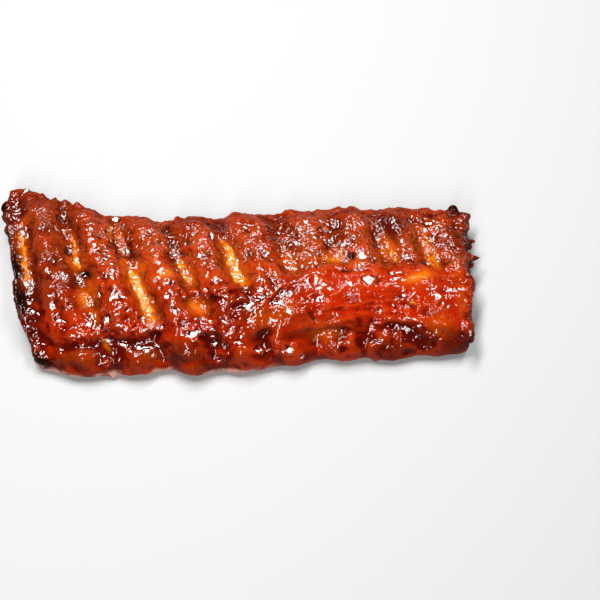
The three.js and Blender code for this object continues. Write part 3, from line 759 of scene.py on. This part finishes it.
def make_bone(rib, ground):
    """A rib's bone, laid to the surface of the meat, which is given as ground.

    Its bare stretches stand just proud of the meat and the rest lies just under it."""
    obj = remeshed(f"bone_{rib}", *cad_mesh(f"rib_bone_{rib}"), BONE_VOXEL)
    mesh = obj.data
    edges = mesh_edges(mesh)
    set_points(mesh, relax(mesh_points(mesh), edges, 6, keep=0.3))
    p = mesh_points(mesh) / MM
    x = p[:, 0] - SHIFT[0]
    y = p[:, 1] - SHIFT[1]
    number = np.full(len(p), float(rib))
    shown, wide = bareness(number, y)
    lane = bare_lane(number, x - rib_x(number, y), y, p) + 0.5 * noise(p, 2.6, seed=60 + rib)
    shape = np.sqrt(shown) * np.exp(-np.abs(lane / (wide + 0.4)) ** 3)
    proud = BONE_PROUD * shape - BONE_UNDER + 0.18 * noise(p, 2.2, seed=50 + rib)
    for i in np.nonzero(mesh_normals(mesh)[:, 2] > 0.2)[0]:
        over = Vector((p[i, 0] * MM, p[i, 1] * MM, RAY_TOP))
        hit = ground.ray_cast(over, Vector((0, 0, -1)))[0]
        if hit is not None:
            p[i, 2] = min(hit.z / MM + proud[i], p[i, 2] + BONE_REACH)
    set_points(mesh, relax(p * MM, edges, 1, keep=0.4))
    glow = shown * (0.3 + 0.7 * bell(lane, wide + 0.2))
    set_attribute(mesh, "glow", glow + 0.24 * noise(p, (2.6, 5.0, 4.0), seed=70 + rib) * shown)
    set_attribute(mesh, "tip", smooth(5, 2, along(FAR_Y, number) - y))
    shade_smooth(mesh)
    return obj


# ---- materials ------------------------------------------------------------------------

COLOUR_A, COLOUR_B, COLOUR_OUT = 6, 7, 2    # the sockets of a mix node that hold colours


class Nodes:
    """A short way to write a node tree."""

    def __init__(self, name):
        self.material = bpy.data.materials.new(name)
        self.material.use_nodes = True
        self.tree = self.material.node_tree
        self.shader = self.tree.nodes["Principled BSDF"]

    def add(self, kind, **settings):
        node = self.tree.nodes.new(kind)
        for key, value in settings.items():
            setattr(node, key, value)
        return node

    def link(self, source, target):
        self.tree.links.new(source, target)

    def set(self, socket, value):
        if isinstance(value, bpy.types.NodeSocket):
            self.link(value, socket)
        else:
            socket.default_value = value

    def fill(self, node, **values):
        """Sets the node's sockets by name, with _ for a space in it."""
        for name, value in values.items():
            self.set(node.inputs[name.replace("_", " ")], value)

    def attribute(self, name):
        return self.add("ShaderNodeAttribute", attribute_name=name).outputs["Fac"]

    def coordinates(self):
        return self.add("ShaderNodeTexCoord").outputs["Object"]

    def scaled(self, vector, scale):
        node = self.add("ShaderNodeMapping")
        self.fill(node, Vector=vector, Scale=scale)
        return node.outputs["Vector"]

    def noise(self, vector, scale, detail=2.0, roughness=0.5, distortion=0.0):
        node = self.add("ShaderNodeTexNoise")
        self.fill(node, Vector=vector, Scale=scale, Detail=detail, Roughness=roughness,
                  Distortion=distortion)
        return node.outputs["Fac"]

    def math(self, operation, a, b=0.0, c=0.0):
        node = self.add("ShaderNodeMath", operation=operation)
        for socket, value in zip(node.inputs, (a, b, c)):
            self.set(socket, value)
        return node.outputs[0]

    def times(self, a, b):
        return self.math("MULTIPLY", a, b)

    def ramp(self, value, low, high, out_low=0.0, out_high=1.0):
        node = self.add("ShaderNodeMapRange", interpolation_type="SMOOTHSTEP")
        self.fill(node, Value=value, From_Min=low, From_Max=high, To_Min=out_low, To_Max=out_high)
        return node.outputs["Result"]

    def mix(self, factor, a, b):
        node = self.add("ShaderNodeMix", data_type="RGBA")
        self.set(node.inputs["Factor"], factor)
        for index, value in ((COLOUR_A, a), (COLOUR_B, b)):
            colour = value if isinstance(value, bpy.types.NodeSocket) else (*value, 1.0)
            self.set(node.inputs[index], colour)
        return node.outputs[COLOUR_OUT]

    def stain(self, colour, paint, mask, pattern):
        """The colour with paint over it, as far as the mask and the pattern together say."""
        return self.mix(self.times(mask, pattern), colour, paint)

    def bump(self, height, distance):
        node = self.add("ShaderNodeBump")
        self.fill(node, Strength=1.0, Distance=distance, Height=height)
        return node.outputs["Normal"]


# Colours, as linear red, green and blue. FAR ones lie on the far part, over the ribs.
GLAZE_RED = (0.176, 0.0053, 0.000299)
FAR_RED = (0.185, 0.00856, 0.000513)
# Deep red: random dark patches and grains, and painted shade in the hollows.
GLAZE_DEEP = (0.0442, 0.00129, 0.000147)
# Bright red: random lighter blotches, and painted light where the shade reads below 0.
GLAZE_BRIGHT = (0.316, 0.0148, 0.00077)
FAR_BRIGHT = (0.328, 0.0257, 0.0012)
# Painted highlight, laid on the knobs.
GLAZE_PAINTED_HIGHLIGHT = (0.368, 0.0294, 0.00294)
GLAZE_ORANGE = (0.442, 0.0589, 0.00147)
AMBER = (0.486, 0.132, 0.00368)
MEAT_TAN = (0.256, 0.0577, 0.0116)
# Dark red: partly glaze, partly painted shade on the near roll, in hollows and under folds.
WINE_RED_AND_SHADE = (0.0515, 0.00147, 0.000147)
# Pale band at the foot: partly pale fat, partly a painted sheen.
PALE_FAT_AND_SHEEN = (0.57, 0.313, 0.239)
# Browned crust and painted shade, laid where the shade reads above 0.
CRUST_AND_SHADE = (0.0626, 0.00331, 0.000589)
CHAR = (0.00276, 0.00147, 0.000736)
MUSCLE_RED = (0.369, 0.0137, 0.000684)
BONE_AMBER = (0.427, 0.11, 0.00368)
BONE_BRIGHT = (0.515, 0.206, 0.0184)
BONE_TIP = (0.276, 0.12, 0.0414)

WAVES = 18.0                        # radians of wave over the whole range of the wrinkles' noise


def glaze(n, normal, coat):
    """The wet coat that the meat and the bones share, over a surface with the given relief."""
    n.link(normal, n.shader.inputs["Normal"])
    n.link(normal, n.shader.inputs["Coat Normal"])
    n.link(coat, n.shader.inputs["Coat Weight"])
    n.shader.inputs["Coat IOR"].default_value = 1.58
    n.shader.inputs["Coat Roughness"].default_value = 0.02
    n.shader.inputs["Roughness"].default_value = 0.5
    n.shader.inputs["Specular IOR Level"].default_value = 0.0
    n.shader.inputs["Subsurface Weight"].default_value = 0.12
    n.shader.inputs["Subsurface Radius"].default_value = (1.0, 0.25, 0.06)
    n.shader.inputs["Subsurface Scale"].default_value = 0.002


def wrinkles_of(n, where, scale, height):
    """Winding wrinkles: waves that follow the contours of a slow noise."""
    slow = n.noise(where, scale, detail=0.0, distortion=0.4)
    return n.times(n.math("SINE", n.times(slow, WAVES)), height)


def wet_relief(n, where, calm, curls, grit):
    """Wrinkles of glaze that catch the light, broad where curls is 1, specks where grit is 1."""
    narrow = wrinkles_of(n, where, scale=220.0, height=0.115)
    broad = wrinkles_of(n, where, scale=160.0, height=0.17)
    wrinkles = n.math("MULTIPLY_ADD", curls, n.math("SUBTRACT", broad, narrow), narrow)
    blobs = n.noise(where, 520.0, detail=0.0, distortion=0.3)
    patches = n.times(grit, n.ramp(n.noise(where, 60.0), 0.42, 0.60, 0.0, 0.28))
    specks = n.times(n.noise(where, 720.0, detail=0.0), patches)
    height = n.math("ADD", wrinkles, n.math("MULTIPLY_ADD", blobs, 0.12, specks))
    return n.bump(n.times(height, calm), MM)


def glaze_colour(n, where):
    """The glaze's reds before any stain, with darker blotches on the near roll, partly painted
    shade, and painted light where the shade reads below 0.
    """
    blotch = n.noise(where, 85.0, detail=3.0)
    patch = n.noise(where, 190.0, detail=2.0, distortion=0.8)
    base = n.mix(n.attribute("far"), GLAZE_RED, FAR_RED)
    bright = n.mix(n.attribute("far"), GLAZE_BRIGHT, FAR_BRIGHT)
    colour = n.mix(n.ramp(blotch, 0.38, 0.66), base, bright)
    colour = n.mix(n.ramp(patch, 0.50, 0.34, 0.0, 0.88), colour, GLAZE_DEEP)
    # Darker blotches on the near roll: partly darker glaze, partly painted shade.
    colour = n.stain(colour, WINE_RED_AND_SHADE, n.attribute("roll"), n.ramp(blotch, 0.60, 0.42, 0.0, 0.85))
    colour = n.stain(colour, MUSCLE_RED, n.attribute("muscle"), 0.7)
    # Painted light: lighter where the shade reads below 0.
    return n.mix(n.ramp(n.attribute("shade"), 0.0, -1.0), colour, GLAZE_BRIGHT)


def grained(n, where, colour):
    """The colour with painted shade, partly pooled glaze, in its hollows, a painted highlight on its
    knobs, and fine dark and tan grains.
    """
    low = n.math("ADD", n.attribute("cavity"), n.times(n.attribute("hollow"), 0.22))
    # Painted highlight on the knobs, and painted shade, partly pooled glaze, in the hollows.
    colour = n.mix(n.ramp(low, 0.05, 0.65, 0.0, 0.62), colour, GLAZE_PAINTED_HIGHLIGHT)
    colour = n.mix(n.ramp(low, 0.0, -0.75, 0.0, 0.92), colour, GLAZE_DEEP)
    grain = n.times(n.ramp(n.attribute("roll"), 0.0, 1.0, 1.0, 0.3),
                    n.ramp(n.attribute("far"), 0.0, 1.0, 0.5, 1.0))
    speck = n.noise(where, 900.0, detail=2.0)
    fleck = n.noise(where, 430.0, detail=3.0, roughness=0.65)
    colour = n.stain(colour, GLAZE_DEEP, grain, n.ramp(speck, 0.54, 0.68, 0.0, 0.4))
    colour = n.stain(colour, MEAT_TAN, n.attribute("far"), n.ramp(fleck, 0.50, 0.64, 0.0, 0.6))
    return n.stain(colour, GLAZE_DEEP, grain, n.ramp(fleck, 0.46, 0.34, 0.0, 0.4))


def stained(n, where, colour, mottle):
    """The colour with the stains over it, each mottled; the shade and the dark red are partly
    painted shade, and the pale band at the foot is partly a painted sheen.
    """
    # Painted shade, partly browned crust: darker where the shade reads above 0.
    colour = n.mix(n.attribute("shade"), colour, CRUST_AND_SHADE)
    # Dark red, partly glaze and partly painted shade in the hollows, folds and crease.
    wine_and_shade = n.times(n.attribute("wine_and_shade"), n.ramp(mottle, 0.30, 0.55))
    colour = n.stain(colour, WINE_RED_AND_SHADE, wine_and_shade, 0.8)
    colour = n.stain(colour, GLAZE_ORANGE, n.attribute("orange"), n.ramp(mottle, 0.15, 0.48))
    colour = n.stain(colour, AMBER, n.attribute("amber"), n.ramp(mottle, 0.28, 0.50))
    rim = n.ramp(n.noise(where, 160.0, detail=4.0), 0.46, 0.58)
    colour = n.stain(colour, WINE_RED_AND_SHADE, n.times(n.attribute("crust"), rim), 0.75)
    colour = n.stain(colour, CHAR, n.attribute("char"), n.ramp(mottle, 0.25, 0.45))
    # The pale band at the foot of the near side: partly pale fat, partly a painted sheen.
    fat_and_sheen = n.times(n.attribute("pale_fat_and_sheen"), n.ramp(n.noise(where, 120.0, detail=3.0), 0.42, 0.60))
    return n.stain(colour, PALE_FAT_AND_SHEEN, fat_and_sheen, 0.85)


def coat_weight(n, where, tan):
    """How wet the meat is: less where it is dry, tan or bare, and full in the pools."""
    bare = n.times(n.attribute("muscle"),
                   n.ramp(n.noise(where, 55.0, detail=1.0), 0.34, 0.50, 0.0, 0.9))
    dull = n.math("MAXIMUM", n.math("MAXIMUM", n.attribute("dry"), bare), tan)
    dull = n.times(dull, n.math("SUBTRACT", 1.0, n.attribute("pool")))
    return n.ramp(dull, 0.0, 1.0, 1.0, 0.15)


def glazed_meat_material():
    n = Nodes("glazed_meat")
    where = n.coordinates()
    mottle = n.noise(where, 300.0, detail=3.0, roughness=0.6, distortion=0.6)
    tan = n.times(n.attribute("tan"), n.ramp(mottle, 0.36, 0.60))
    colour = n.stain(glaze_colour(n, where), MEAT_TAN, tan, 0.8)
    colour = stained(n, where, grained(n, where, colour), mottle)
    n.link(colour, n.shader.inputs["Base Color"])
    relief = wet_relief(n, where, n.attribute("calm"), n.attribute("curls"), n.attribute("grit"))
    glaze(n, relief, coat_weight(n, where, tan))
    return n.material


def bone_material():
    n = Nodes("amber_bone")
    where = n.coordinates()
    grain = n.noise(n.scaled(where, (1.0, 0.5, 1.0)), 520.0, detail=3.0, distortion=0.6)
    glow = n.math("ADD", n.attribute("glow"), n.ramp(grain, 0.32, 0.68, -0.45, 0.25))
    colour = n.mix(n.ramp(glow, 0.02, 0.30), GLAZE_RED, GLAZE_ORANGE)
    colour = n.mix(n.ramp(glow, 0.25, 0.55), colour, BONE_AMBER)
    colour = n.mix(n.ramp(glow, 0.60, 0.95), colour, BONE_BRIGHT)
    colour = n.mix(n.attribute("tip"), colour, BONE_TIP)
    n.link(colour, n.shader.inputs["Base Color"])
    relief = wet_relief(n, where, calm=1.4, curls=0.3, grit=0.8)
    glaze(n, relief, n.ramp(n.attribute("tip"), 0.0, 1.0, 0.7, 0.2))
    return n.material


def floor_material():
    n = Nodes("floor")
    n.shader.inputs["Base Color"].default_value = (*FLOOR_GREY, 1.0)
    n.shader.inputs["Roughness"].default_value = FLOOR_ROUGHNESS
    return n.material


# ---- stage ----------------------------------------------------------------------------

def make_camera():
    """The view of the photo: from the near side, EYE_TILT down."""
    camera = bpy.data.cameras.new("camera")
    camera.sensor_width = SENSOR
    camera.lens = 0.5 * SENSOR * EYE_DISTANCE / HALF_VIEW
    obj = add_object("camera", camera)
    obj.location = EYE
    obj.rotation_euler = (-EYE_BACK).to_track_quat("-Z", "Y").to_euler()
    bpy.context.scene.camera = obj


def softbox(name, place, size, power, turn):
    """A rectangular lamp that faces the rack, turned about its own axis by turn degrees."""
    light = bpy.data.lights.new(name, "AREA")
    light.shape = "RECTANGLE"
    light.size, light.size_y = size
    light.energy = power
    obj = add_object(name, light)
    obj.location = place
    facing = Vector(place).to_track_quat("Z", "Y")
    obj.rotation_euler = (facing @ Quaternion((0, 0, 1), math.radians(turn))).to_euler()


def make_stage():
    side = FLOOR_HALF
    corners = [(-side, -side, 0), (side, -side, 0), (side, side, 0), (-side, side, 0)]
    floor = new_object("floor", corners, [(0, 1, 2, 3)])
    floor.location.z = -FLOOR_DROP
    floor.data.materials.append(floor_material())
    for lamp in LAMPS:
        softbox(*lamp)
    world = bpy.data.worlds.new("studio")
    bpy.context.scene.world = world
    world.use_nodes = True
    world.node_tree.nodes["Background"].inputs["Color"].default_value = (1, 1, 1, 1)
    world.node_tree.nodes["Background"].inputs["Strength"].default_value = ROOM_LIGHT
    bpy.context.scene.view_settings.view_transform = "Standard"


# ---- assembly -------------------------------------------------------------------------

make_camera()
make_stage()

meat = make_meat()
meat.data.materials.append(glazed_meat_material())
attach(meat, "root")
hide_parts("meat")

amber = bone_material()
ground = BVHTree.FromPolygons([v.co.copy() for v in meat.data.vertices],
                              [list(p.vertices) for p in meat.data.polygons])
for number in range(1, RIBS + 1):
    bone = make_bone(number, ground)
    bone.data.materials.append(amber)
    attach(bone, "root")
    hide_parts(f"rib_bone_{number}")
